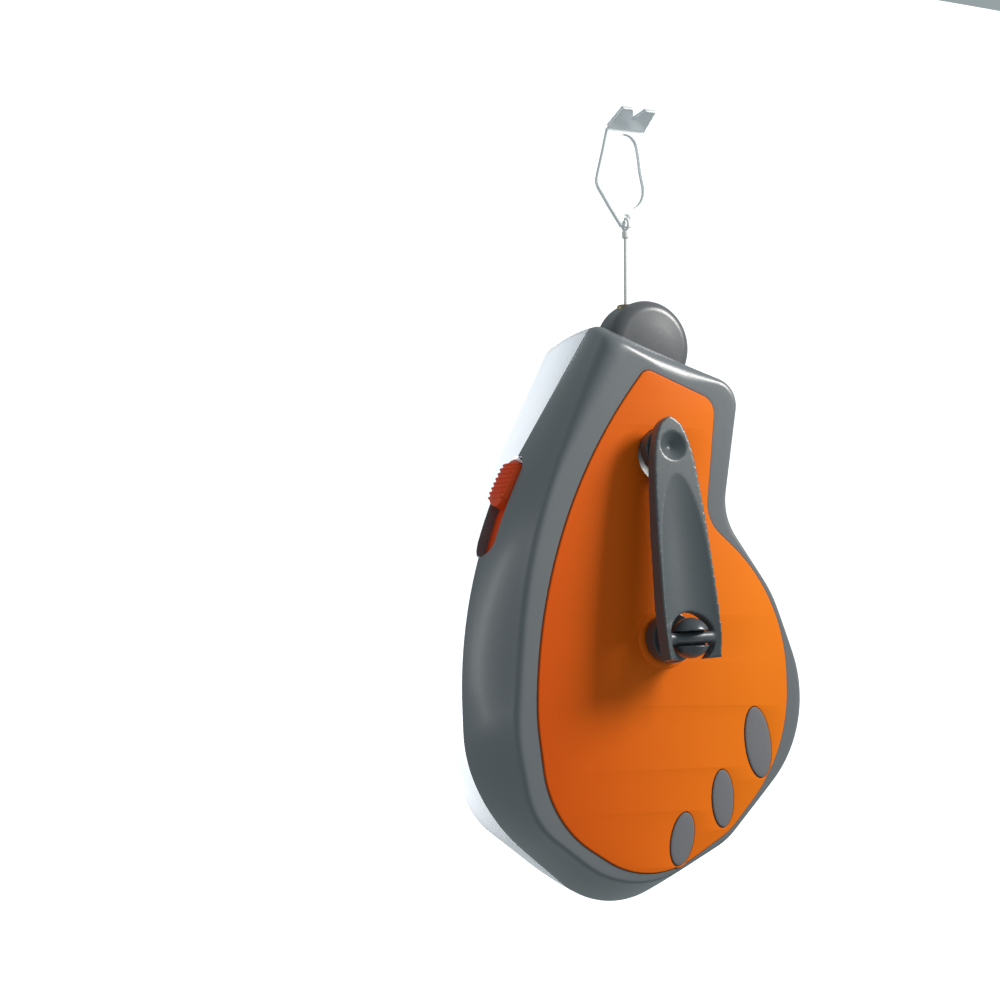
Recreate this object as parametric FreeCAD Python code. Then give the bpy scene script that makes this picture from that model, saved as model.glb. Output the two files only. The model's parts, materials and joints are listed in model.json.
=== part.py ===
import FreeCAD
import Part
import math
import os

os.makedirs("parts", exist_ok=True)

V = FreeCAD.Vector

# Frame, in millimetres: X right, Z up along the drawn line, the crank side faces -Y.
# The origin is on the spool axis, on the flat back face.

# Driving dimensions of the casing
THICK = 38.0          # over both panels
MID = -THICK / 2      # parting plane
WALL = 2.4            # side wall
FLOOR = 2.0           # shell wall behind a panel
PANEL_T = 1.9         # panel plate
PANEL_PROUD = 0.4     # panel above the rim
PANEL_GAP = 0.15      # groove round a panel
SEAM = 0.1            # half of the gasket gap

# Each outline is a list of corners (x, z, corner radius), clockwise from top left
SEAM_LINE = [
    (-10.6, 84.2, 4.0), (27.3, 69.2, 6.0), (23.3, 32.9, 11.7), (39.0, 12.5, 37.8),
    (61.6, -27.4, 42.3), (23.8, -56.0, 21.6), (-6.0, -75.2, 25.7), (-40.8, -47.5, 48.5),
    (-48.7, -30.9, 34.4), (-50.9, 18.5, 118.4),
]
RIM_LINE = [
    (-16.4, 79.1, 4.0), (24.3, 66.8, 7.1), (19.0, 32.3, 15.5), (34.5, 11.9, 35.1),
    (48.6, -22.9, 31.3), (19.4, -52.9, 18.9), (-10.3, -67.2, 28.8), (-39.1, -46.4, 20.3),
    (-43.6, -23.8, 45.0), (-40.2, 23.6, 148.7),
]
PANEL_LINE = [
    (-5.4, 70.1, 3.0), (16.1, 62.5, 5.0), (13.0, 31.0, 9.7), (37.6, 11.2, 45.1),
    (39.0, -30.0, 42.8), (19.8, -50.5, 21.2), (-4.4, -64.3, 25.4), (-33.6, -46.7, 29.0),
    (-37.6, -19.9, 64.6), (-35.9, 31.1, 133.5),
]
CONCAVE = 2           # index of the waist corner, the only hollow one

# Grip pads: centre x, centre z, length, width, lean in degrees
PADS = [(28.8, -27.5, 18.7, 7.8, -8.0), (17.6, -41.9, 14.9, 6.5, -1.0), (5.0, -51.9, 13.8, 6.7, 13.0)]
PAD_T = 1.05
PAD_PROUD = 0.25

# Screws that hold the halves together: x, z
SCREWS = [(-10.0, 59.0), (13.5, 54.0), (-32.0, -33.0), (29.5, -33.0), (-4.5, -53.5)]
BOSS_R = 3.6

# Spool, shaft and bushings
SHAFT_R = 4.0
RUN_FIT = 0.05
FLANGE_R = 30.0
FLANGE_T = 1.5
CORE_R = 8.5
LINE_PACK_R = 22.0
SPOOL_REAR = -5.6
SPOOL_FRONT = -31.6

# Crank
PIVOT_Y = -50.2       # cross bar axis
HEAD_R = 5.2
NECK_R = 3.2
COLLAR_R = 6.4
BAR_R = 1.6
WINDOW_R = 6.6
ARM_LEAN = -3.0       # rest angle of the arm about the spool axis
ARM_DIP = 5.2         # the folded arm slopes towards the panel
SCOOP_R = 17.0
SCOOP = [(-10.0, 2.0), (0.0, 2.1), (14.0, 2.1), (27.0, 2.0), (36.0, 1.6), (42.0, 1.2), (52.0, 0.2)]
KNOB_AT = 49.0        # knob axis from the cross bar
KNOB_R = 5.9
KNOB_L = 3.8
PIN_R = 1.6
RECESS_R = 7.1
RECESS_AT = (-0.6, 47.6)
RECESS_DEPTH = 7.0

# Sliding fill door, on an arc about (DOOR_X, DOOR_Z)
DOOR_X = 69.0
DOOR_Z = -12.5
DOOR_OUT = 118.4      # radius of the casing's edge there
SLOT_FROM = 149.7     # degrees from +X
SLOT_TO = 163.5
SLOT_HALF = 4.8
PAD_FROM = 150.2
PAD_TO = 156.8
DOOR_PLATE_OUT = 114.8
DOOR_PLATE_IN = 113.3
DOOR_HALF = 6.2

# Nose, line and hook
NOSE_X = 5.0
NOSE_Z = 78.3
NOSE_R = 12.4
NOSE_HALF = 6.0
LINE_R = 0.5
LINE_LOW = 62.0
LINE_TOP = 107.7
HOOK_T = 1.2


def save(shape, name):
    shape.exportStep("parts/%s.step" % name)


def corners(line, inset):
    """Move every side of an outline inwards, and adjust each corner radius to suit."""
    count = len(line)
    sides = []
    for i in range(count):
        a = line[i]
        b = line[(i + 1) % count]
        length = math.hypot(b[0] - a[0], b[1] - a[1])
        # clockwise, so the inside is to the right of each side
        nx = (b[1] - a[1]) / length
        nz = -(b[0] - a[0]) / length
        sides.append((nx, nz, nx * a[0] + nz * a[1] + inset))
    moved = []
    for i in range(count):
        a = sides[i - 1]
        b = sides[i]
        det = a[0] * b[1] - a[1] * b[0]
        x = (a[2] * b[1] - a[1] * b[2]) / det
        z = (a[0] * b[2] - a[2] * b[0]) / det
        radius = line[i][2] + (inset if i == CONCAVE else -inset)
        moved.append((x, z, max(radius, 0.6)))
    return moved


def outline(line, y, inset=0.0):
    """Closed wire of straight sides and tangent corner arcs at height y."""
    pts = corners(line, inset)
    count = len(pts)
    arcs = []
    for i in range(count):
        here = V(pts[i][0], y, pts[i][1])
        to_last = V(pts[i - 1][0], y, pts[i - 1][1]) - here
        to_next = V(pts[(i + 1) % count][0], y, pts[(i + 1) % count][1]) - here
        to_last.normalize()
        to_next.normalize()
        half = to_last.getAngle(to_next) / 2
        radius = pts[i][2]
        reach = radius / math.tan(half)
        bisector = to_last + to_next
        bisector.normalize()
        middle = here + bisector * (radius / math.sin(half) - radius)
        arcs.append((here + to_last * reach, middle, here + to_next * reach))
    edges = []
    for i in range(count):
        start, middle, end = arcs[i]
        following = arcs[(i + 1) % count][0]
        edges.append(Part.Arc(start, middle, end).toShape())
        edges.append(Part.makeLine(end, following))
    return Part.Wire(edges)


def stack(levels):
    """Solid through outlines given as (outline, y, inset)."""
    wires = [outline(line, y, inset) for line, y, inset in levels]
    return Part.makeLoft(wires, True, True)


def slab(line, y0, y1, inset=0.0):
    return stack([(line, y0, inset), (line, y1, inset)])


def cyl_y(r, y0, y1, x=0.0, z=0.0):
    return Part.makeCylinder(r, y1 - y0, V(x, y0, z), V(0, 1, 0))


def cyl_z(r, z0, z1, x=0.0, y=MID):
    return Part.makeCylinder(r, z1 - z0, V(x, y, z0), V(0, 0, 1))


def box(x0, x1, y0, y1, z0, z1):
    return Part.makeBox(x1 - x0, y1 - y0, z1 - z0, V(x0, y0, z0))


def fuse(first, *others):
    for other in others:
        first = first.fuse(other)
    return first


def cut(first, *others):
    for other in others:
        first = first.cut(other)
    return first


def mirrored(shape):
    """The same shape on the other side of the parting plane."""
    return shape.mirror(V(0, MID, 0), V(0, 1, 0))


def oval(pad, y0, y1, grow=0.0):
    x, z, length, width, lean = pad
    curve = Part.Ellipse(V(0, 0, 0), length / 2 + grow, width / 2 + grow)
    wire = Part.Wire([curve.toShape()])
    wire.rotate(V(0, 0, 0), V(1, 0, 0), 90)
    wire.rotate(V(0, 0, 0), V(0, 1, 0), -90 + lean)
    wire.translate(V(x, y0, z))
    return Part.Face(wire).extrude(V(0, y1 - y0, 0))


def sector(r_in, r_out, deg0, deg1, y0, y1):
    """Curved bar about the door's arc centre."""
    def at(r, deg):
        a = math.radians(deg)
        return V(DOOR_X + r * math.cos(a), y0, DOOR_Z + r * math.sin(a))
    mid = (deg0 + deg1) / 2
    outer = Part.Arc(at(r_out, deg0), at(r_out, mid), at(r_out, deg1)).toShape()
    inner = Part.Arc(at(r_in, deg1), at(r_in, mid), at(r_in, deg0)).toShape()
    end = Part.makeLine(at(r_out, deg1), at(r_in, deg1))
    start = Part.makeLine(at(r_in, deg0), at(r_out, deg0))
    face = Part.Face(Part.Wire([outer, end, inner, start]))
    return face.extrude(V(0, y1 - y0, 0))


def slot_cut():
    """The round-ended slot in the edge of the casing."""
    end = math.degrees(SLOT_HALF / DOOR_OUT)
    tool = sector(DOOR_OUT - 3.4, DOOR_OUT + 4, SLOT_FROM + end, SLOT_TO - end,
                  MID - SLOT_HALF, MID + SLOT_HALF)
    for deg in (SLOT_FROM + end, SLOT_TO - end):
        a = math.radians(deg)
        out = V(math.cos(a), 0, math.sin(a))
        foot = V(DOOR_X, MID, DOOR_Z) + out * (DOOR_OUT - 3.4)
        tool = tool.fuse(Part.makeCylinder(SLOT_HALF, 7.4, foot, out))
    return tool


def door_rails():
    """Ledge and web inside a shell half that the door's edge runs in."""
    low = MID - 7.6
    shelf = sector(DOOR_PLATE_IN - 1.7, DOOR_PLATE_IN - 0.3, 148.0, 172.0, low, MID - 5.2)
    web = sector(DOOR_PLATE_IN - 1.7, DOOR_OUT - 2.6, 148.0, 172.0, low, MID - 6.6)
    return shelf, web


def door_channel():
    """Room for the door plate between the rails and the casing's wall."""
    return sector(DOOR_PLATE_IN - 0.3, DOOR_PLATE_OUT + 0.3, 147.9, 172.1, MID - 6.6, MID + 6.6)


def nose_body(grow=0.0):
    """Disc-shaped nose with softened edges."""
    r = NOSE_R + grow
    half = NOSE_HALF + grow
    disc = cyl_y(r, MID - half, MID + half, NOSE_X, NOSE_Z)
    return disc.makeFillet(2.6, [e for e in disc.Edges if isinstance(e.Curve, Part.Circle)])


def shell_half(cup):
    """Front half: tapering wall, panel pocket, bosses and the cuts for what passes through."""
    rim = -THICK + PANEL_PROUD
    pocket = -THICK + PANEL_T
    inside = pocket + FLOOR
    seam = MID - SEAM
    outer = stack([
        (SEAM_LINE, seam, 0.0), (RIM_LINE, rim + 1.4, 0.0),
        (RIM_LINE, rim + 0.45, 0.4), (RIM_LINE, rim, 1.4),
    ])
    hollow = stack([(SEAM_LINE, seam, WALL), (RIM_LINE, inside, WALL)])
    over = slab(SEAM_LINE, seam - 0.01, seam + 1.0, WALL)
    shell = cut(outer, hollow, over)
    shelf, web = door_rails()
    keep = slab(SEAM_LINE, -THICK, 0.0, 1.0)
    extras = [shelf, web.common(keep)]
    for x, z in SCREWS:
        extras.append(cyl_y(BOSS_R, inside - 0.5, seam, x, z))
    extras.append(cyl_y(8.0, inside - 0.5, inside + 1.2))
    if cup:
        extras.append(cyl_y(RECESS_R + 1.6, inside - 0.5, -THICK + RECESS_DEPTH + 1.4, *RECESS_AT))
    shell = cut(fuse(shell, *extras), door_channel())
    return shell, pocket, inside


def front_shell():
    shell, pocket, inside = shell_half(True)
    tools = [slab(PANEL_LINE, pocket - 3, pocket, -PANEL_GAP), slot_cut(), nose_body(0.12)]
    tools.append(cyl_y(5.6, -THICK, inside + 2))
    tools.append(cyl_y(RECESS_R, -THICK, -THICK + RECESS_DEPTH, *RECESS_AT))
    for x, z in SCREWS:
        tools.append(cyl_y(1.3, MID - 10.5, MID, x, z))
    return cut(shell, *tools)


def rear_shell():
    shell, pocket, inside = shell_half(False)
    tools = [slab(PANEL_LINE, pocket - 3, pocket, -PANEL_GAP), slot_cut(), nose_body(0.12)]
    tools.append(cyl_y(5.6, -THICK + 2.2, inside + 2))
    for x, z in SCREWS:
        tools.append(cyl_y(1.6, -THICK, MID, x, z))
        tools.append(cyl_y(2.9, -THICK, pocket + 1.5, x, z))
    return mirrored(cut(shell, *tools))


def panel_plate():
    pocket = -THICK + PANEL_T
    return stack([
        (PANEL_LINE, pocket, 0.0), (PANEL_LINE, -THICK + 0.5, 0.0),
        (PANEL_LINE, -THICK + 0.12, 0.18), (PANEL_LINE, -THICK, 0.55),
    ])


def front_panel():
    plate = panel_plate()
    ring = cyl_y(8.0, -THICK - 0.45, -THICK + 0.5)
    plate = fuse(plate, ring)
    tools = [cyl_y(5.6, -THICK - 2, -THICK + 3), cyl_y(RECESS_R, -THICK - 2, -THICK + 3, *RECESS_AT)]
    for pad in PADS:
        tools.append(oval(pad, -THICK - 2, -THICK + PAD_T - PAD_PROUD, 0.12))
    return cut(plate, *tools)


def rear_panel():
    tools = [cyl_y(3.0, -THICK - 2, -THICK + 3, x, z) for x, z in SCREWS]
    for pad in PADS:
        tools.append(oval(pad, -THICK - 2, -THICK + PAD_T + 0.1, 0.12))
    return mirrored(cut(panel_plate(), *tools))


def pads(depth, proud):
    solids = []
    for pad in PADS:
        body = oval(pad, -THICK - proud, -THICK + depth)
        solids.append(body)
    return Part.makeCompound(solids)


def nose_guide():
    """Nose, line passage and the pocket that holds the wiper."""
    stem = box(-5.9, 5.9, MID - 6.0, MID + 6.0, 56.0, 74.0)
    body = fuse(nose_body(), stem)
    tools = [cyl_z(1.0, 50.0, 95.0), cyl_z(2.4, 86.2, 95.0)]
    tools.append(box(-4.5, 4.5, MID - 4.6, MID + 4.6, 58.0, 65.5))
    return cut(body, *tools)


def line_eyelet():
    ring = cyl_z(2.36, 86.25, 89.6)
    ring = ring.makeFillet(0.6, [e for e in ring.Edges if e.BoundBox.ZMin > 89.0])
    return cut(ring, cyl_z(1.0, 80.0, 95.0))


def felt_wiper():
    block = box(-4.4, 4.4, MID - 4.5, MID + 4.5, 58.1, 65.4)
    return cut(block, cyl_z(LINE_R + RUN_FIT, 50.0, 70.0))


def guide_pin():
    front = -THICK + RECESS_DEPTH + 1.42
    return cyl_y(2.0, front, -PANEL_T - FLOOR - 0.02, -2.9, 47.2)


def case_gasket():
    ring = cut(slab(SEAM_LINE, MID - 0.08, MID + 0.08, 0.9), slab(SEAM_LINE, MID - 1, MID + 1, 1.7))
    return cut(ring, slot_cut(), nose_body(0.3))


def case_screws():
    solids = []
    for x, z in SCREWS:
        head = cyl_y(2.7, -3.38, -1.95, x, z)
        slot = box(x - 0.35, x + 0.35, -2.55, -1.0, z - 1.5, z + 1.5)
        cross = box(x - 1.5, x + 1.5, -2.55, -1.0, z - 0.35, z + 0.35)
        head = cut(head, slot, cross)
        solids.append(head.fuse(cyl_y(1.25, -28.0, -3.38, x, z)))
    return Part.makeCompound(solids)


def front_bushing():
    body = cyl_y(5.5, -THICK + 0.2, -THICK + 5.1)
    return cut(body, cyl_y(SHAFT_R + RUN_FIT, -THICK - 1, -THICK + 6))


def rear_bushing():
    body = cyl_y(5.5, -5.1, -2.25)
    return cut(body, cyl_y(SHAFT_R + RUN_FIT, -6.0, -2.0))


def spool_drum():
    core = cyl_y(CORE_R, SPOOL_FRONT + FLANGE_T, SPOOL_REAR)
    flange = cyl_y(FLANGE_R, SPOOL_REAR - FLANGE_T, SPOOL_REAR)
    windows = []
    for k in range(6):
        a = math.radians(60 * k + 30)
        windows.append(cyl_y(3.4, -40, 5, 17 * math.cos(a), 17 * math.sin(a)))
    return cut(fuse(core, flange), cyl_y(SHAFT_R, -40, 5), *windows)


def spool_flange():
    disc = cyl_y(FLANGE_R, SPOOL_FRONT, SPOOL_FRONT + FLANGE_T)
    return cut(disc, cyl_y(SHAFT_R, -40, 5))


def wound_line():
    y0 = SPOOL_FRONT + FLANGE_T
    y1 = SPOOL_REAR - FLANGE_T
    pack = cyl_y(LINE_PACK_R, y0, y1)
    pack = pack.makeChamfer(2.0, [e for e in pack.Edges if isinstance(e.Curve, Part.Circle)])
    return cut(pack, cyl_y(CORE_R, -40, 5))


def shaft_clip():
    return cut(cyl_y(6.4, -32.6, -31.8), cyl_y(SHAFT_R, -40, 5))


def turned(shape):
    """Put a crank piece at the arm's rest angle about the spool axis."""
    shape.rotate(V(0, 0, 0), V(0, 1, 0), ARM_LEAN)
    return shape


def hub_shaft():
    """Shaft with the round head whose open groove holds the arm's cross bar."""
    shaft = cyl_y(SHAFT_R, -THICK - 3.2, -2.6)
    neck = cyl_y(NECK_R, PIVOT_Y + 1.0, -THICK - 3.0)
    head = Part.makeSphere(HEAD_R, V(0, PIVOT_Y, 0))
    collar = cyl_y(COLLAR_R, -THICK - 4.8, -THICK - 0.8)
    body = fuse(shaft, neck, collar, head)
    seat = Part.makeCylinder(BAR_R + RUN_FIT, 20, V(-10, PIVOT_Y, 0), V(1, 0, 0))
    mouth = box(-10, 10, PIVOT_Y - 8, PIVOT_Y, -BAR_R - 0.3, BAR_R + 0.3)
    return turned(cut(body, seat, mouth))


def dipped(shape):
    """Slope a piece drawn straight up from the cross bar towards the panel."""
    shape.rotate(V(0, PIVOT_Y, 0), V(1, 0, 0), -ARM_DIP)
    return shape


def crank_arm():
    """Tapered arm with an ogive tip, a scooped face, a dimple and an open round window."""
    half = [(-5.4, 7.7), (0.0, 8.2), (15.0, 8.1), (30.0, 7.4), (40.0, 6.6), (47.0, 5.8), (52.0, 4.6)]
    right = [V(w, 0, u) for u, w in half] + [V(2.9, 0, 55.4), V(0, 0, 57.3)]
    left = [V(-p.x, 0, p.z) for p in right]
    side_r = Part.BSplineCurve()
    side_r.interpolate(right)
    side_l = Part.BSplineCurve()
    side_l.interpolate(list(reversed(left)))
    foot = Part.makeLine(left[0], right[0])
    face = Part.Face(Part.Wire([side_r.toShape(), side_l.toShape(), foot]))
    arm = face.extrude(V(0, 5.0, 0))
    arm.translate(V(0, PIVOT_Y - 2.5, 0))
    top = Part.makeBox(40, 10, 90, V(-20, -10, -10))
    top.rotate(V(0, 0, 0), V(1, 0, 0), -1.6)
    top.translate(V(0, PIVOT_Y - 2.3, 0))
    rings = []
    for u, depth in SCOOP:
        ring = Part.Circle(V(0, PIVOT_Y - 2.3 + depth - SCOOP_R, u), V(0, 0, 1), SCOOP_R)
        rings.append(Part.Wire([ring.toShape()]))
    scoop = Part.makeLoft(rings, True)
    dimple = Part.makeCone(4.6, 0.5, 2.7, V(0, PIVOT_Y - 1.4, KNOB_AT + 0.6), V(0, 1, 0))
    window = cyl_y(WINDOW_R, PIVOT_Y - 9, PIVOT_Y + 9)
    pin_hole = cyl_y(PIN_R, PIVOT_Y + 1.6, PIVOT_Y + 9, 0, KNOB_AT)
    arm = cut(arm, top, scoop, dimple, window, pin_hole)
    bar = Part.makeCylinder(BAR_R, 14.6, V(-7.3, PIVOT_Y, 0), V(1, 0, 0))
    arm = arm.fuse(bar).removeSplitter()
    return turned(dipped(arm))


def knob_pin():
    pin = cyl_y(PIN_R, PIVOT_Y + 1.62, PIVOT_Y + 2.5, 0, KNOB_AT)
    shank = cyl_y(PIN_R, PIVOT_Y + 2.5, PIVOT_Y + 2.7 + KNOB_L - 0.9, 0, KNOB_AT)
    return turned(dipped(fuse(pin, shank)))


def crank_knob():
    y0 = PIVOT_Y + 2.75
    knob = cyl_y(KNOB_R, y0, y0 + KNOB_L, 0, KNOB_AT)
    far = [e for e in knob.Edges if e.BoundBox.YMin > y0 + KNOB_L - 0.01]
    knob = knob.makeFillet(1.2, far)
    knob = cut(knob, cyl_y(PIN_R + RUN_FIT, y0 - 1, y0 + KNOB_L - 0.7, 0, KNOB_AT))
    return turned(dipped(knob))


def thumb_block(r0, r1, half):
    """Block between two radii with round ends, like the slot's."""
    end = math.degrees(4.5 / DOOR_OUT)
    block = sector(r0, r1, PAD_FROM + end, PAD_TO - end, MID - half, MID + half)
    for deg in (PAD_FROM + end, PAD_TO - end):
        a = math.radians(deg)
        out = V(math.cos(a), 0, math.sin(a))
        foot = V(DOOR_X, MID, DOOR_Z) + out * r0
        block = block.fuse(Part.makeCylinder(half, r1 - r0, foot, out))
    return block


def fill_door():
    """Curved plate behind the slot with a ribbed thumb pad standing in it."""
    plate = sector(DOOR_PLATE_IN, DOOR_PLATE_OUT, 148.6, 164.9, MID - DOOR_HALF, MID + DOOR_HALF)
    pad = thumb_block(DOOR_PLATE_OUT - 0.4, DOOR_OUT + 0.6, 4.5)
    count = 8
    step = (PAD_TO - PAD_FROM - 0.6) / count
    ribs = []
    for k in range(count):
        a0 = PAD_FROM + 0.3 + k * step + 0.18 * step
        bar = sector(DOOR_OUT + 0.3, DOOR_OUT + 1.3, a0, a0 + 0.64 * step, MID - 4.1, MID + 4.1)
        ribs.append(bar.common(thumb_block(DOOR_OUT, DOOR_OUT + 2, 4.3)))
    return fuse(plate, pad, *ribs)


def chalk_line():
    return cyl_z(LINE_R, LINE_LOW, LINE_TOP)


def line_knot():
    """Loop through the hook's hole and round its foot, with a barrel knot below."""
    loop = Part.makeTorus(1.55, 0.42, V(0, MID, 111.65), V(1, 0, 0))
    barrel = cyl_z(0.95, 107.75, 109.85)
    barrel = barrel.makeFillet(0.4, [e for e in barrel.Edges if isinstance(e.Curve, Part.Circle)])
    return fuse(barrel, loop)


def line_hook():
    """Stamped plate: pear-shaped window, line hole at the foot, forked claw bent forward."""
    half = [(1.6, 110.8), (5.6, 116.2), (8.9, 121.0), (9.35, 122.4), (9.15, 124.0), (7.4, 131.0), (5.9, 137.6)]
    pts = [V(x, 0, z) for x, z in half] + [V(-x, 0, z) for x, z in reversed(half)]
    face = Part.Face(Part.makePolygon(pts + [pts[0]]))
    plate = face.extrude(V(0, HOOK_T, 0))
    inner = [(0.0, 136.0), (2.5, 134.6), (3.6, 131.4), (4.6, 125.0), (5.3, 120.6), (3.7, 117.2), (0.0, 115.7)]
    win = [V(x, -1, z) for x, z in inner] + [V(-x, -1, z) for x, z in reversed(inner[1:-1])]
    curve = Part.BSplineCurve()
    curve.interpolate(win, PeriodicFlag=True)
    window = Part.Face(Part.Wire([curve.toShape()])).extrude(V(0, HOOK_T + 2, 0))
    hole = Part.makeCylinder(0.9, HOOK_T + 2, V(0, -1, 113.2), V(0, 1, 0))
    plate = cut(plate, window, hole)
    tab = [V(-5.9, 0, 0), V(5.9, 0, 0), V(5.2, 0, 8.0), V(1.9, 0, 8.0), V(0, 0, 4.2),
           V(-1.9, 0, 8.0), V(-5.2, 0, 8.0)]
    claw = Part.Face(Part.makePolygon(tab + [tab[0]])).extrude(V(0, HOOK_T, 0))
    claw.rotate(V(0, 0, 0), V(1, 0, 0), 62)
    claw.translate(V(0, 0, 137.4))
    hook = fuse(plate, claw)
    hook.translate(V(0, MID - HOOK_T / 2, 0))
    return hook


save(front_shell(), "front_shell")
save(rear_shell(), "rear_shell")
save(front_panel(), "front_panel")
save(rear_panel(), "rear_panel")
save(pads(PAD_T - PAD_PROUD, PAD_PROUD), "front_grip_pads")
save(mirrored(pads(PAD_T, 0.0)), "rear_grip_pads")
save(nose_guide(), "nose_guide")
save(line_eyelet(), "line_eyelet")
save(felt_wiper(), "felt_wiper")
save(guide_pin(), "guide_pin")
save(case_gasket(), "case_gasket")
save(case_screws(), "case_screws")
save(front_bushing(), "front_bushing")
save(rear_bushing(), "rear_bushing")
save(spool_drum(), "spool_drum")
save(spool_flange(), "spool_flange")
save(wound_line(), "wound_line")
save(shaft_clip(), "shaft_clip")
save(hub_shaft(), "hub_shaft")
save(crank_arm(), "crank_arm")
save(knob_pin(), "knob_pin")
save(crank_knob(), "crank_knob")
save(fill_door(), "fill_door")
save(chalk_line(), "chalk_line")
save(line_knot(), "line_knot")
save(line_hook(), "line_hook")
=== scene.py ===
import bpy
import bmesh
import json
import math
from mathutils import Vector, Matrix


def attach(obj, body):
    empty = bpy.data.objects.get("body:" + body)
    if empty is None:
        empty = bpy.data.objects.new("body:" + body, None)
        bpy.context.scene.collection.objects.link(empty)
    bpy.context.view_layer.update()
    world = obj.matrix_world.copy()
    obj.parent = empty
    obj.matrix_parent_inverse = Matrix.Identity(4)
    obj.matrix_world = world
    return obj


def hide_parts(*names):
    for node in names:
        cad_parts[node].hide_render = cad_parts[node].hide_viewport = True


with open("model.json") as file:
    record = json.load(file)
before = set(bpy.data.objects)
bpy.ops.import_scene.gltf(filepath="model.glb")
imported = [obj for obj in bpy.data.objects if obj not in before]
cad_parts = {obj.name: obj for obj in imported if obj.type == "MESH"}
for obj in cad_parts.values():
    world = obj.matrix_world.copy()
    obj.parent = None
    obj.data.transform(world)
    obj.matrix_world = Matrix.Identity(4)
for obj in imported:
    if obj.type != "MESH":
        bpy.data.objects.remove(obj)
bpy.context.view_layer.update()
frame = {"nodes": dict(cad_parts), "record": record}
MM = 0.001

# Casing, in millimetres, in the frame's axes; outline corners are (x, z, radius)
MID = -19.0
FRONT = -38.0
RIM_Y = -37.6
WALL = 2.4
SEAM_LINE = [
    (-10.6, 84.2, 4.0), (27.3, 69.2, 6.0), (23.3, 32.9, 11.7), (39.0, 12.5, 37.8),
    (61.6, -27.4, 42.3), (23.8, -56.0, 21.6), (-6.0, -75.2, 25.7), (-40.8, -47.5, 48.5),
    (-48.7, -30.9, 34.4), (-50.9, 18.5, 118.4),
]
RIM_LINE = [
    (-16.4, 79.1, 4.0), (24.3, 66.8, 7.1), (19.0, 32.3, 15.5), (34.5, 11.9, 35.1),
    (48.6, -22.9, 31.3), (19.4, -52.9, 18.9), (-10.3, -67.2, 28.8), (-39.1, -46.4, 20.3),
    (-43.6, -23.8, 45.0), (-40.2, 23.6, 148.7),
]
PANEL_LINE = [
    (-5.4, 70.1, 3.0), (16.1, 62.5, 5.0), (13.0, 31.0, 9.7), (37.6, 11.2, 45.1),
    (39.0, -30.0, 42.8), (19.8, -50.5, 21.2), (-4.4, -64.3, 25.4), (-33.6, -46.7, 29.0),
    (-37.6, -19.9, 64.6), (-35.9, 31.1, 133.5),
]
CONCAVE = 2
LANDMARKS = (0, 1, 2, 6)
SPANS = (48, 44, 136, 200)
PADS = [(28.8, -27.5, 18.7, 7.8, -8.0), (17.6, -41.9, 14.9, 6.5, -1.0), (5.0, -51.9, 13.8, 6.7, 13.0)]
RECESS = (-0.6, 47.6, 7.1)
SCREWS = [(-10.0, 59.0), (13.5, 54.0), (-32.0, -33.0), (29.5, -33.0), (-4.5, -53.5)]
DOOR_C = (69.0, -12.5)
DOOR_R = 118.4
SLOT = (149.7, 163.5, 4.8)
THUMB = (150.2, 156.8, 4.4)
NOSE = (5.0, 78.3, 12.4, 6.0)

# Details of the skins
SEAM_GROOVE = 0.12     # how far the wall's edge is drawn in at the seam
WALL_BULGE = 0.55      # crown of the wall between seam and rim
HUB_HOLE = 5.6
CUP_TOP = -37.75
CUP_FLOOR = -31.4
NOSE_ROUND = 3.4       # rounding of the nose's edge
MOUTH = (2.4, 86.2, 95.0)          # counterbore in the nose: radius, from z, to z
DOOR_SPAN = (148.6, 164.9)         # the door plate's ends, in degrees
DOOR_PLATE = (113.35, 114.78, 6.15)
PAD_FOOT = 114.7       # radius where the thumb pad meets its plate
PAD_RIBS = 8
PAD_LEAD = 1.3         # smooth stretch at each end of the pad
LINE_HEIGHTS = (0.062, 0.073, 0.085, 0.097, 0.1077)
FLOOR_Z = -0.16
FLOOR_STEPS = 40


# ---------------------------------------------------------------- materials

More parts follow.
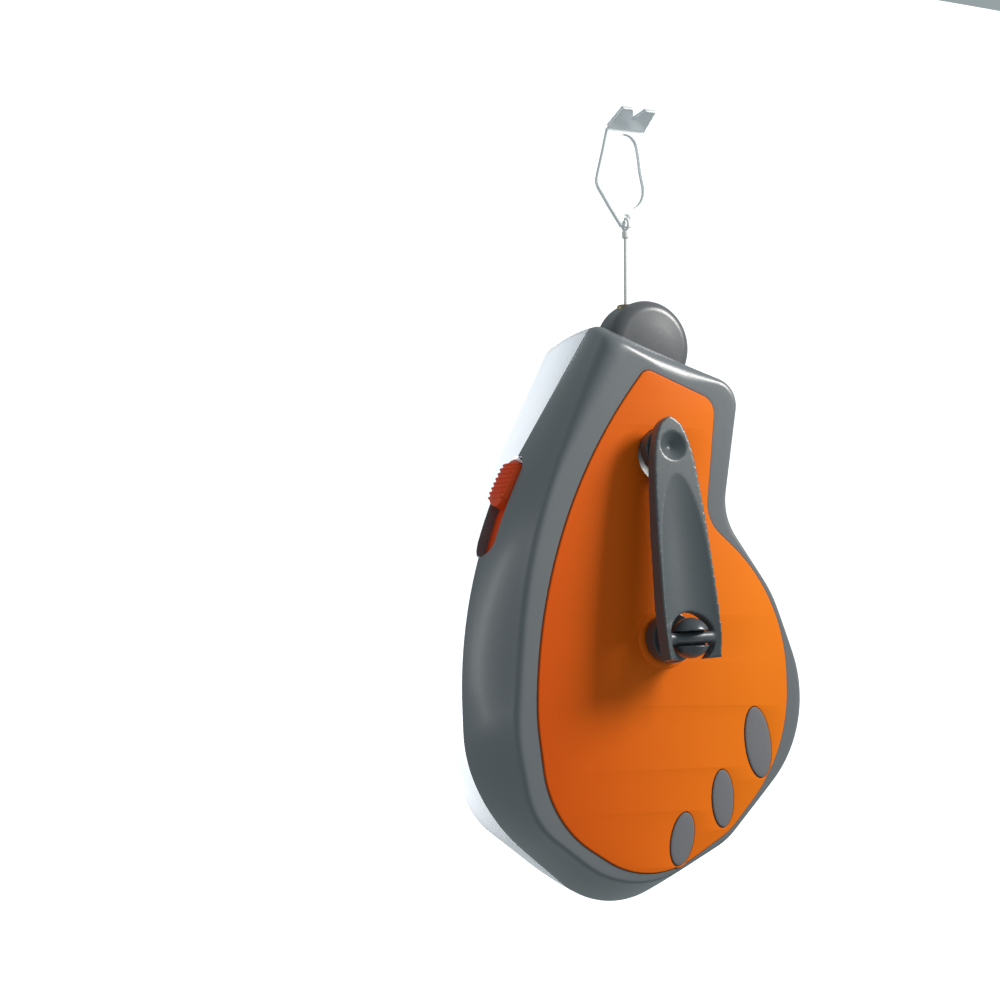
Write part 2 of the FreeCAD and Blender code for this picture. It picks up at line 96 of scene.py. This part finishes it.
def material(name, base, rough, metal=0.0, grain=900.0, bump=0.05, vary=0.08, coat=0.0,
             coat_rough=0.1, sheen=0.0, tint=None, tint_scale=18.0, spec=0.5, left=None):
    """Principled material with mottled colour, uneven roughness and a fine surface grain.

    With left, the colour also turns to that one towards the object's -X side: painted shade, standing in
    for the light falling off across the surface.
    """
    mat = bpy.data.materials.new(name)
    mat.use_nodes = True
    nt = mat.node_tree
    bsdf = nt.nodes["Principled BSDF"]
    bsdf.inputs["Metallic"].default_value = metal
    bsdf.inputs["Coat Weight"].default_value = coat
    bsdf.inputs["Coat Roughness"].default_value = coat_rough
    bsdf.inputs["Sheen Weight"].default_value = sheen
    bsdf.inputs["Specular IOR Level"].default_value = spec
    coord = nt.nodes.new("ShaderNodeTexCoord")
    broad = nt.nodes.new("ShaderNodeTexNoise")
    broad.inputs["Scale"].default_value = tint_scale
    broad.inputs["Detail"].default_value = 5.0
    fine = nt.nodes.new("ShaderNodeTexNoise")
    fine.inputs["Scale"].default_value = grain
    fine.inputs["Detail"].default_value = 3.0
    for tex in (broad, fine):
        nt.links.new(coord.outputs["Object"], tex.inputs["Vector"])
    ramp = nt.nodes.new("ShaderNodeValToRGB")
    other = tint or tuple(c * (1 - vary) for c in base)
    ramp.color_ramp.elements[0].color = (*other, 1)
    ramp.color_ramp.elements[0].position = 0.35
    ramp.color_ramp.elements[1].color = (*base, 1)
    ramp.color_ramp.elements[1].position = 0.65
    nt.links.new(broad.outputs["Fac"], ramp.inputs["Fac"])
    # Painted shade: a ramp along object X darkens and reddens the colour towards -X, in place of the
    # light's falloff.
    if left:
        axis = nt.nodes.new("ShaderNodeSeparateXYZ")
        nt.links.new(coord.outputs["Object"], axis.inputs["Vector"])
        painted_shade_ramp = nt.nodes.new("ShaderNodeMapRange")
        painted_shade_ramp.inputs["From Min"].default_value = 0.030
        painted_shade_ramp.inputs["From Max"].default_value = -0.040
        nt.links.new(axis.outputs["X"], painted_shade_ramp.inputs["Value"])
        painted_shade_mix = nt.nodes.new("ShaderNodeMixRGB")
        painted_shade_mix.inputs["Color2"].default_value = (*left, 1)
        nt.links.new(painted_shade_ramp.outputs["Result"], painted_shade_mix.inputs["Fac"])
        nt.links.new(ramp.outputs["Color"], painted_shade_mix.inputs["Color1"])
        nt.links.new(painted_shade_mix.outputs["Color"], bsdf.inputs["Base Color"])
    else:
        nt.links.new(ramp.outputs["Color"], bsdf.inputs["Base Color"])
    spread = nt.nodes.new("ShaderNodeMapRange")
    spread.inputs["To Min"].default_value = max(rough - 0.05, 0.02)
    spread.inputs["To Max"].default_value = rough + 0.07
    nt.links.new(fine.outputs["Fac"], spread.inputs["Value"])
    nt.links.new(spread.outputs["Result"], bsdf.inputs["Roughness"])
    bumps = nt.nodes.new("ShaderNodeBump")
    bumps.inputs["Strength"].default_value = bump
    bumps.inputs["Distance"].default_value = 0.0002
    nt.links.new(fine.outputs["Fac"], bumps.inputs["Height"])
    nt.links.new(bumps.outputs["Normal"], bsdf.inputs["Normal"])
    return mat


MATS = {
    "casing": material("casing", (0.170, 0.176, 0.188), 0.34, coat=0.22, coat_rough=0.20,
                       tint=(0.150, 0.163, 0.174), grain=1400, bump=0.04),
    # The panel's left colour is painted shade: darker and redder towards -X, where the key light falls
    # off.
    "panel": material("panel", (0.92, 0.215, 0.008), 0.48, tint=(0.88, 0.195, 0.007),
                      grain=2600, bump=0.10, spec=0.10, left=(0.80, 0.100, 0.006)),
    "grip": material("grip", (0.200, 0.198, 0.212), 0.60, grain=3000, bump=0.25, spec=0.2),
    "nose": material("nose", (0.115, 0.118, 0.126), 0.32, coat=0.15, coat_rough=0.25, grain=1400),
    "brass": material("brass", (0.34, 0.27, 0.17), 0.38, metal=1.0, grain=500),
    "felt": material("felt", (0.50, 0.47, 0.42), 0.95, grain=4000, bump=0.9, sheen=0.5),
    "steel": material("steel", (0.56, 0.56, 0.57), 0.30, metal=1.0, grain=700, bump=0.12),
    "seal": material("seal", (0.018, 0.018, 0.020), 0.60),
    "bushing": material("bushing", (0.028, 0.030, 0.033), 0.40),
    "spool": material("spool", (0.040, 0.042, 0.046), 0.45),
    "line": material("line", (0.92, 0.91, 0.88), 0.85, grain=5000, bump=0.8, sheen=0.3),
    "hub": material("hub", (0.060, 0.068, 0.076), 0.28, coat=0.3, coat_rough=0.15, grain=1600),
    "crank": material("crank", (0.085, 0.098, 0.106), 0.34, coat=0.25, coat_rough=0.22,
                      tint=(0.075, 0.088, 0.096), grain=1600, bump=0.06),
    "knob": material("knob", (0.060, 0.070, 0.076), 0.36, coat=0.2, coat_rough=0.25, grain=1600),
    "door": material("door", (0.92, 0.085, 0.010), 0.42, tint=(0.84, 0.072, 0.009),
                     grain=2200, bump=0.08, spec=0.25),
    # hook_steel's near-white colour is a painted reflection: it stands in for the bright surroundings
    # that the steel hook reflects.
    "hook_steel": material("hook_steel", (0.93, 0.95, 0.97), 0.24, metal=0.35, grain=600, bump=0.10),
}
for part in frame["record"]["subparts"]:
    node = frame["nodes"][part["node"]]
    node.data.materials.clear()
    node.data.materials.append(MATS[part["material_slot"]])


# ------------------------------------------------------------ mesh helpers

def add_mesh(name, verts, faces, smooth=True):
    mesh = bpy.data.meshes.new(name)
    mesh.from_pydata([Vector(v) * MM for v in verts], [], faces)
    mesh.validate()
    bm = bmesh.new()
    bm.from_mesh(mesh)
    bmesh.ops.recalc_face_normals(bm, faces=bm.faces)
    bm.to_mesh(mesh)
    bm.free()
    for poly in mesh.polygons:
        poly.use_smooth = smooth
    obj = bpy.data.objects.new(name, mesh)
    bpy.context.scene.collection.objects.link(obj)
    return obj


def sharpen(obj, degrees=38.0):
    """Smooth shading with hard lines kept where faces meet at more than the given angle."""
    mesh = obj.data
    limit = math.radians(degrees)
    bm = bmesh.new()
    bm.from_mesh(mesh)
    for edge in bm.edges:
        if len(edge.link_faces) == 2:
            edge.smooth = edge.calc_face_angle(0.0) < limit
    bm.to_mesh(mesh)
    bm.free()


def finish_piece(obj, slot, body, *nodes):
    obj.data.materials.clear()
    obj.data.materials.append(MATS[slot])
    if nodes:
        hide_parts(*nodes)
    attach(obj, body)
    return obj


def loft(name, loops, cap_first=True, cap_last=True):
    """Mesh through loops that all have the same number of points."""
    n = len(loops[0])
    verts = [p for loop in loops for p in loop]
    faces = []
    for k in range(len(loops) - 1):
        for i in range(n):
            j = (i + 1) % n
            faces.append((k * n + i, k * n + j, (k + 1) * n + j, (k + 1) * n + i))
    if cap_first:
        faces.append(tuple(range(n)))
    if cap_last:
        faces.append(tuple(range((len(loops) - 1) * n, len(loops) * n)))
    return add_mesh(name, verts, faces)


def corners(line, inset):
    """Corners of an outline whose sides have all moved inwards, with adjusted radii."""
    count = len(line)
    sides = []
    for i in range(count):
        a, b = line[i], line[(i + 1) % count]
        length = math.hypot(b[0] - a[0], b[1] - a[1])
        nx, nz = (b[1] - a[1]) / length, -(b[0] - a[0]) / length
        sides.append((nx, nz, nx * a[0] + nz * a[1] + inset))
    moved = []
    for i in range(count):
        a, b = sides[i - 1], sides[i]
        det = a[0] * b[1] - a[1] * b[0]
        radius = line[i][2] + (inset if i == CONCAVE else -inset)
        x = (a[2] * b[1] - a[1] * b[2]) / det
        z = (a[0] * b[2] - a[2] * b[0]) / det
        moved.append((x, z, max(radius, 0.6)))
    return moved


def outline(line, inset=0.0):
    """Evenly spaced points (x, z) round an outline, with the same count between landmarks."""
    pts = corners(line, inset)
    count = len(pts)
    dense = []
    marks = []
    steps = 24
    for i in range(count):
        here = Vector(pts[i][:2])
        back = (Vector(pts[i - 1][:2]) - here).normalized()
        ahead = (Vector(pts[(i + 1) % count][:2]) - here).normalized()
        half = back.angle(ahead) / 2
        radius = pts[i][2]
        reach = radius / math.tan(half)
        centre = here + (back + ahead).normalized() * radius / math.sin(half)
        start, end = here + back * reach - centre, here + ahead * reach - centre
        turn = start.angle_signed(end)
        for k in range(steps + 1):
            if i in LANDMARKS and k == steps // 2:
                marks.append(len(dense))
            a = -turn * k / steps
            ca, sa = math.cos(a), math.sin(a)
            dense.append(centre + Vector((start.x * ca - start.y * sa, start.x * sa + start.y * ca)))
    total = len(dense)
    out = []
    for m, span in enumerate(SPANS):
        first, last = marks[m], marks[(m + 1) % len(marks)]
        if last <= first:
            last += total
        run = [dense[k % total] for k in range(first, last + 1)]
        out.extend(resample(run, span))
    return out


def resample(run, count):
    lengths = [0.0]
    for a, b in zip(run, run[1:]):
        lengths.append(lengths[-1] + (b - a).length)
    out = []
    k = 0
    for i in range(count):
        want = lengths[-1] * i / count
        while k < len(run) - 2 and lengths[k + 1] < want:
            k += 1
        gap = lengths[k + 1] - lengths[k]
        t = (want - lengths[k]) / gap if gap > 1e-9 else 0.0
        out.append(run[k].lerp(run[k + 1], t))
    return out


def at(points, y):
    return [Vector((p.x, y, p.y)) for p in points]


def mix(a, b, t):
    return [p.lerp(q, t) for p, q in zip(a, b)]


def flipped(loops):
    """The same loops on the other side of the parting plane."""
    return [[Vector((p.x, 2 * MID - p.y, p.z)) for p in loop] for loop in loops]


def smoothstep(x, a, b):
    t = min(max((x - a) / (b - a), 0.0), 1.0)
    return t * t * (3 - 2 * t)


# ----------------------------------------------------------------- casing

def shell_loops():
    """Front half: seam, bulged wall, rounded edge, rim band, groove, then back up the inside."""
    seam = at(outline(SEAM_LINE), MID - 0.1)
    edge = at(outline(RIM_LINE), RIM_Y)
    inner = at(outline(PANEL_LINE, -0.13), RIM_Y)
    loops = [at(outline(SEAM_LINE, 0.35), MID - 0.1)]
    starts, ends = [], []
    for s, e, p in zip(seam, edge, inner):
        soft = smoothstep(e.z, 38, 78) * smoothstep(-e.x, -26, 6)
        r = 1.7 + 4.6 * soft
        starts.append(e + (s - e).normalized() * r)
        ends.append(e + (p - e).normalized() * min(r, (p - e).length * 0.72))
    n = len(seam)
    for k in range(11):
        t = k / 10
        loop = []
        for i in range(n):
            s, a = seam[i], starts[i]
            p = s.lerp(a, t)
            out = Vector((edge[i].x - inner[i].x, 0, edge[i].z - inner[i].z)).normalized()
            groove = SEAM_GROOVE if k == 0 else 0.0
            loop.append(p + out * (WALL_BULGE * math.sin(math.pi * t) - groove))
        loops.append(loop)
    for k in range(1, 9):
        t = k / 8
        loops.append([a.lerp(e, t).lerp(e.lerp(b, t), t) for a, e, b in zip(starts, edge, ends)])
    for t in (0.35, 0.7, 0.93):
        loops.append(mix(ends, inner, t))
    loops.append([Vector((p.x, RIM_Y + 0.03, p.z)) for p in mix(ends, inner, 0.985)])
    loops.append([Vector((p.x, RIM_Y + 0.18, p.z)) for p in inner])
    loops.append(at(outline(PANEL_LINE, -0.12), -36.15))
    return loops


def shell_inside():
    return [at(outline(RIM_LINE, WALL + 1.0), -34.1), at(outline(RIM_LINE, WALL), -32.0),
            at(outline(SEAM_LINE, WALL), MID - 0.1)]


def arc_point(r, s, y):
    """Point at radius r, arc length s from the slot's upper end, height y."""
    a = math.radians(SLOT[0]) + s / DOOR_R
    return Vector((DOOR_C[0] + r * math.cos(a), MID + y, DOOR_C[1] + r * math.sin(a)))


def capsule(r, s0, s1, half, grow=0.0, steps=18):
    """Loop on the door's arc: a round-ended slot between arc lengths s0 and s1."""
    out = []
    half += grow
    for k in range(steps + 1):
        a = math.pi * k / steps
        out.append(arc_point(r, s1 - half + grow + half * math.sin(a), half * math.cos(a)))
    for k in range(steps + 1):
        a = math.pi * k / steps
        out.append(arc_point(r, s0 + half - grow - half * math.sin(a), -half * math.cos(a)))
    return out


SLOT_LEN = math.radians(SLOT[1] - SLOT[0]) * DOOR_R


def slot_tool():
    levels = [(110.0, 0.0), (117.3, 0.0), (117.9, 0.12), (118.4, 0.5), (121.5, 1.6)]
    return loft("slot_tool", [capsule(r, 0.0, SLOT_LEN, SLOT[2], g) for r, g in levels])


def circle(x, z, r, steps=72):
    """Points (x, z) round a circle."""
    turns = [2 * math.pi * k / steps for k in range(steps)]
    return [(x + r * math.cos(a), z + r * math.sin(a)) for a in turns]


def round_loop(x, z, r, y, steps=72):
    return [Vector((px, y, pz)) for px, pz in circle(x, z, r, steps)]


def disc_tool(name, x, z, r, y0, y1):
    return loft(name, [round_loop(x, z, r, y) for y in (y0, y1)])


def carve(obj, tools):
    """Cut the tools out of obj and bake the result into its mesh."""
    for tool in tools:
        mod = obj.modifiers.new("cut", "BOOLEAN")
        mod.operation = "DIFFERENCE"
        mod.solver = "EXACT"
        mod.object = tool
    bpy.context.view_layer.update()
    deps = bpy.context.evaluated_depsgraph_get()
    mesh = bpy.data.meshes.new_from_object(obj.evaluated_get(deps))
    obj.modifiers.clear()
    obj.data = mesh
    for tool in tools:
        bpy.data.objects.remove(tool)


def build_shells():
    loops = shell_loops()
    inside = shell_inside()
    ring = list(reversed(loops)) + list(reversed(inside))
    for name, flip in (("shell_front_skin", False), ("shell_rear_skin", True)):
        use = flipped(ring) if flip else ring
        shell = loft(name, use)
        tools = [slot_tool()]
        if not flip:
            tools.append(disc_tool("recess_tool", *RECESS, -40, -33))
            tools.append(disc_tool("hub_tool", 0, 0, HUB_HOLE, -40, -33))
        carve(shell, tools)
        sharpen(shell, 42)
        finish_piece(shell, "casing", "casing", "rear_shell" if flip else "front_shell")


def cup(name, x, z, r, y_top, y_floor):
    """Round pocket: a thin tube with a floor, open at the top."""
    section = [(0.4, y_floor), (r - 0.8, y_floor), (r, y_floor - 0.8), (r, y_top + 0.3),
               (r + 0.25, y_top), (r + 0.9, y_top), (r + 0.9, y_floor + 0.9), (0.4, y_floor + 0.9)]
    return loft(name, [round_loop(x, z, radius, y) for radius, y in section])


def plate(name, loops, y_front, thick, bevel):
    """Flat plate with holes and rounded edges, from closed loops of (x, z) in millimetres."""
    curve = bpy.data.curves.new(name, "CURVE")
    curve.dimensions = "2D"
    curve.fill_mode = "BOTH"
    curve.extrude = (thick / 2 - bevel) * MM
    curve.bevel_depth = bevel * MM
    curve.bevel_resolution = 3
    curve.offset = -bevel * MM
    for loop in loops:
        spline = curve.splines.new("POLY")
        spline.points.add(len(loop) - 1)
        for point, (x, z) in zip(spline.points, loop):
            point.co = (x * MM, z * MM, 0, 1)
        spline.use_cyclic_u = True
    temp = bpy.data.objects.new(name, curve)
    bpy.context.scene.collection.objects.link(temp)
    bpy.context.view_layer.update()
    deps = bpy.context.evaluated_depsgraph_get()
    mesh = bpy.data.meshes.new_from_object(temp.evaluated_get(deps))
    bpy.data.objects.remove(temp)
    upright = Matrix.Rotation(math.radians(90), 4, "X")
    mesh.transform(Matrix.Translation((0, (y_front + thick / 2) * MM, 0)) @ upright)
    bm = bmesh.new()
    bm.from_mesh(mesh)
    bmesh.ops.remove_doubles(bm, verts=bm.verts, dist=1e-6)
    bmesh.ops.recalc_face_normals(bm, faces=bm.faces)
    bm.to_mesh(mesh)
    bm.free()
    for poly in mesh.polygons:
        poly.use_smooth = True
    obj = bpy.data.objects.new(name, mesh)
    bpy.context.scene.collection.objects.link(obj)
    sharpen(obj, 30)
    return obj


def ellipse(pad, grow, steps=72):
    x, z, length, width, lean = pad
    a = math.radians(lean)
    out = []
    for k in range(steps):
        t = 2 * math.pi * k / steps
        u, w = (width / 2 + grow) * math.cos(t), (length / 2 + grow) * math.sin(t)
        out.append((x + u * math.cos(a) + w * math.sin(a), z - u * math.sin(a) + w * math.cos(a)))
    return out


def build_panels():
    edge = [(p.x, p.y) for p in outline(PANEL_LINE)]
    pad_holes = [ellipse(pad, 0.14) for pad in PADS]
    front_holes = [circle(*RECESS), circle(0, 0, 5.7)]
    front = plate("panel_front_skin", [edge] + front_holes + pad_holes, FRONT, 1.8, 0.35)
    finish_piece(front, "panel", "casing", "front_panel")
    screw_holes = [circle(x, z, 3.0, 40) for x, z in SCREWS]
    rear = plate("panel_rear_skin", [edge] + screw_holes + pad_holes, -1.8, 1.8, 0.35)
    finish_piece(rear, "panel", "casing", "rear_panel")
    section = [(5.62, 0.6), (5.62, -0.25), (5.85, -0.45), (6.6, -0.5), (7.5, -0.42),
               (7.95, -0.15), (8.05, 0.3)]
    ring = lathe("hub_ring", [(r, FRONT + y) for r, y in section], 0, 0)
    finish_piece(ring, "panel", "casing")


def lathe(name, profile, x, z, steps=96, close=False):
    """Turned shape about the Y direction through (x, z); profile is a list of (radius, y)."""
    return loft(name, [round_loop(x, z, r, y, steps) for r, y in profile], close, close)


def build_pads():
    """Oval rubber pads with a soft shoulder and a slight crown."""
    section = [(0.0, -0.9), (0.0, -0.12), (-0.10, -0.02), (-0.3, 0.03), (-1.0, 0.07),
               (-1.8, 0.10), (-2.6, 0.12)]
    for side, flip in (("front", False), ("rear", True)):
        made = []
        proud = 0.25 if not flip else 0.0
        for i, pad in enumerate(PADS):
            loops = []
            for grow, lift in section:
                y = FRONT - proud - lift
                loops.append([Vector((px, y, pz)) for px, pz in ellipse(pad, grow)])
            if flip:
                loops = flipped(loops)
            made.append(loft("pad_%s_%d" % (side, i + 1), loops))
        finish_piece(made[0], "grip", "casing", side + "_grip_pads")
        for other in made[1:]:
            finish_piece(other, "grip", "casing")


def build_nose():
    """Disc-shaped nose with a crowned face, and the mouth where the line comes out."""
    x, z, r, half = NOSE
    profile = []
    for k in range(25):
        a = math.pi / 2 * k / 24
        radius = r - NOSE_ROUND + NOSE_ROUND * math.sin(a)
        profile.append((radius, MID - (half - NOSE_ROUND) - NOSE_ROUND * math.cos(a)))
    face = MID - half
    front = [(0.4, face - 0.5), (3.0, face - 0.46), (6.0, face - 0.3)] + profile
    back = [(rad, 2 * MID - y) for rad, y in reversed(front)]
    nose = lathe("nose_dome", front + back, x, z, 128, True)
    mouth, low, high = MOUTH
    rings = [[Vector((px, py, height)) for px, py in circle(0, MID, mouth, 48)] for height in (low, high)]
    carve(nose, [loft("mouth_tool", rings)])
    finish_piece(nose, "nose", "casing", "nose_guide")


def soften(node, name, voxel, passes, slot, body):
    """Copy of a CAD part with its edges rounded by a fine remesh and smoothing."""
    obj = bpy.data.objects.new(name, frame["nodes"][node].data.copy())
    bpy.context.scene.collection.objects.link(obj)
    obj.modifiers.new("weld", "WELD").merge_threshold = 1e-6
    remesh = obj.modifiers.new("remesh", "REMESH")
    remesh.mode = "VOXEL"
    remesh.voxel_size = voxel * MM
    smooth = obj.modifiers.new("smooth", "SMOOTH")
    smooth.factor = 0.5
    smooth.iterations = passes
    bpy.context.view_layer.update()
    deps = bpy.context.evaluated_depsgraph_get()
    mesh = bpy.data.meshes.new_from_object(obj.evaluated_get(deps))
    obj.modifiers.clear()
    obj.data = mesh
    for poly in mesh.polygons:
        poly.use_smooth = True
    return finish_piece(obj, slot, body, node)


def build_door():
    """Door plate behind the slot, with a crowned thumb pad and its ribs."""
    def strip(r, s0, s1, half):
        out = []
        for k in range(49):
            out.append(arc_point(r, s0 + (s1 - s0) * k / 48, half))
        for k in range(49):
            out.append(arc_point(r, s1 - (s1 - s0) * k / 48, -half))
        return out
    s_top, s_low = [math.radians(deg - SLOT[0]) * DOOR_R for deg in DOOR_SPAN]
    inner, outer, half_width = DOOR_PLATE
    door = loft("door_plate", [strip(r, s_top, s_low, half_width) for r in (inner, outer)])
    sharpen(door)
    finish_piece(door, "door", "door", "fill_door")
    s0 = math.radians(THUMB[0] - SLOT[0]) * DOOR_R
    s1 = math.radians(THUMB[1] - SLOT[0]) * DOOR_R
    half = THUMB[2]
    rows, cols = 150, 36
    verts, faces = [], []
    for i in range(rows + 1):
        s = s0 + (s1 - s0) * i / rows
        end = min(s - s0, s1 - s)
        w = half * math.sqrt(max(1 - max(0.0, 1 - end / 4.2) ** 2.2, 0.02))
        for j in range(cols + 1):
            v = -1 + 2 * j / cols
            y = w * v
            along = (s - s0 - PAD_LEAD) / (s1 - s0 - 2 * PAD_LEAD)
            inside = smoothstep(along, -0.02, 0.05) * smoothstep(1 - along, -0.02, 0.05)
            inside *= smoothstep(1 - abs(y) / half, 0.10, 0.26)
            wave = max(0.0, math.cos(2 * math.pi * (along * PAD_RIBS - 0.5))) ** 0.7
            crown = (1 - v * v) ** 0.5 * smoothstep(end, -0.5, 3.0)
            r = DOOR_R + 0.25 + crown + 0.62 * wave * inside
            if abs(v) > 0.999 or i in (0, rows):
                r = DOOR_R - 0.3
            verts.append(arc_point(r, s, y))
    base = len(verts)
    for top in verts[:base]:
        centre = Vector((DOOR_C[0], top.y, DOOR_C[1]))
        verts.append(centre + (top - centre).normalized() * PAD_FOOT)

    def q(i, j, b=0):
        return b + i * (cols + 1) + j

    for i in range(rows):
        for j in range(cols):
            faces.append((q(i, j), q(i + 1, j), q(i + 1, j + 1), q(i, j + 1)))
    for i in range(rows):
        for j in (0, cols):
            faces.append((q(i, j), q(i + 1, j), q(i + 1, j, base), q(i, j, base)))
    for j in range(cols):
        for i in (0, rows):
            faces.append((q(i, j), q(i, j + 1), q(i, j + 1, base), q(i, j, base)))
    pad = add_mesh("thumb_pad", verts, faces)
    bm = bmesh.new()
    bm.from_mesh(pad.data)
    loose = [v for v in bm.verts if not v.link_faces]
    bmesh.ops.delete(bm, geom=loose, context="VERTS")
    bmesh.ops.recalc_face_normals(bm, faces=bm.faces)
    bm.to_mesh(pad.data)
    bm.free()
    finish_piece(pad, "door", "door")


def build_line():
    """The line's run, as one smooth curve from the wiper to the knot, and its hook."""
    curve = bpy.data.curves.new("line_free", "CURVE")
    curve.dimensions = "3D"
    curve.bevel_depth = 0.0005
    curve.bevel_resolution = 3
    spline = curve.splines.new("NURBS")
    spline.points.add(len(LINE_HEIGHTS) - 1)
    for point, z in zip(spline.points, LINE_HEIGHTS):
        point.co = (0.0, -0.019, z, 1.0)
    spline.order_u = 3
    spline.use_endpoint_u = True
    line = bpy.data.objects.new("line_free", curve)
    bpy.context.scene.collection.objects.link(line)
    line.data.materials.append(MATS["line"])
    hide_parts("chalk_line")
    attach(line, "line")
    hook = soften("line_hook", "hook_plate", 0.20, 5, "hook_steel", "line")


build_shells()
build_panels()
# The recess pocket belongs to the casing but takes the darker crank material: painted shade in the recess
# round the knob.
finish_piece(cup("recess_cup", *RECESS, CUP_TOP, CUP_FLOOR), "crank", "casing")
build_pads()
build_nose()
soften("crank_arm", "arm_blade", 0.28, 5, "crank", "crank")
soften("crank_knob", "knob_cap", 0.25, 4, "knob", "knob")
soften("hub_shaft", "hub_head", 0.25, 4, "hub", "reel")
build_door()
build_line()


# ----------------------------------------------------- floor, light, camera

def build_floor():
    """Pale floor that curves up into a backdrop; it glows, so it stays evenly white."""
    bm = bmesh.new()
    n = FLOOR_STEPS
    for k in range(n + 1):
        t = k / n
        if t < 0.5:
            y, z = -3.0 + t * 2 * 4.0, 0.0
        else:
            a = (t - 0.5) * 2 * math.pi / 2
            y, z = 1.0 + 1.2 * math.sin(a), 1.2 - 1.2 * math.cos(a)
        bm.verts.new((-6.0, y, z + FLOOR_Z))
        bm.verts.new((6.0, y, z + FLOOR_Z))
    bm.verts.ensure_lookup_table()
    for k in range(n):
        bm.faces.new([bm.verts[2 * k + step] for step in (0, 1, 3, 2)])
    mesh = bpy.data.meshes.new("floor")
    bm.to_mesh(mesh)
    bm.free()
    floor = bpy.data.objects.new("floor", mesh)
    for poly in mesh.polygons:
        poly.use_smooth = True
    bpy.context.scene.collection.objects.link(floor)
    paper = material("floor_paper", (0.90, 0.90, 0.90), 0.85, grain=300, bump=0.02, vary=0.01)
    bsdf = paper.node_tree.nodes["Principled BSDF"]
    bsdf.inputs["Emission Color"].default_value = (1, 1, 1, 1)
    bsdf.inputs["Emission Strength"].default_value = 1.0
    mesh.materials.append(paper)
    floor.visible_diffuse = False
    floor.visible_glossy = False


def area(name, where, aim, size, power, size_y=None, colour=(1, 1, 1)):
    light = bpy.data.lights.new(name, "AREA")
    light.shape = "RECTANGLE"
    light.size = size
    light.size_y = size_y or size
    light.energy = power
    light.color = colour
    obj = bpy.data.objects.new(name, light)
    obj.location = where
    obj.rotation_euler = (Vector(aim) - Vector(where)).to_track_quat("-Z", "Y").to_euler()
    obj.visible_camera = False
    bpy.context.scene.collection.objects.link(obj)
    return obj


def build_light():
    """Key from the right, a thin strip for the left wall, and a light for the rear half only."""
    world = bpy.data.worlds.new("studio")
    world.use_nodes = True
    back = world.node_tree.nodes["Background"]
    back.inputs["Color"].default_value = (0.86, 1.0, 1.03, 1.0)
    back.inputs["Strength"].default_value = 0.36
    bpy.context.scene.world = world
    bpy.context.scene.view_settings.view_transform = "Standard"
    centre = (0, -0.02, 0.01)
    area("key", (0.37, -0.33, 0.33), centre, 0.20, 3.6, colour=(1.0, 0.98, 0.95))
    area("strip_left", (-0.52, 0.22, 0.10), centre, 0.03, 0.30, 0.30)
    rear = area("rear_left", (-0.36, 0.24, 0.02), (-0.05, 0.0, 0.0), 0.20, 16.0, 0.40)
    lit = bpy.data.collections.new("rear_light_receivers")
    lit.objects.link(bpy.data.objects["shell_rear_skin"])
    rear.light_linking.receiver_collection = lit


def build_camera():
    data = bpy.data.cameras.new("camera")
    data.lens = 77.04
    data.sensor_width = 36.0
    cam = bpy.data.objects.new("camera", data)
    azimuth = math.radians(-32.0)
    target = Vector((-0.0012, -0.038, 0.0))
    cam.location = target + Vector((math.sin(azimuth), -math.cos(azimuth), 0)) * 0.557
    cam.rotation_euler = (math.radians(93.69), 0, math.radians(-27.707))
    bpy.context.scene.collection.objects.link(cam)
    bpy.context.scene.camera = cam


build_floor()
build_light()
build_camera()
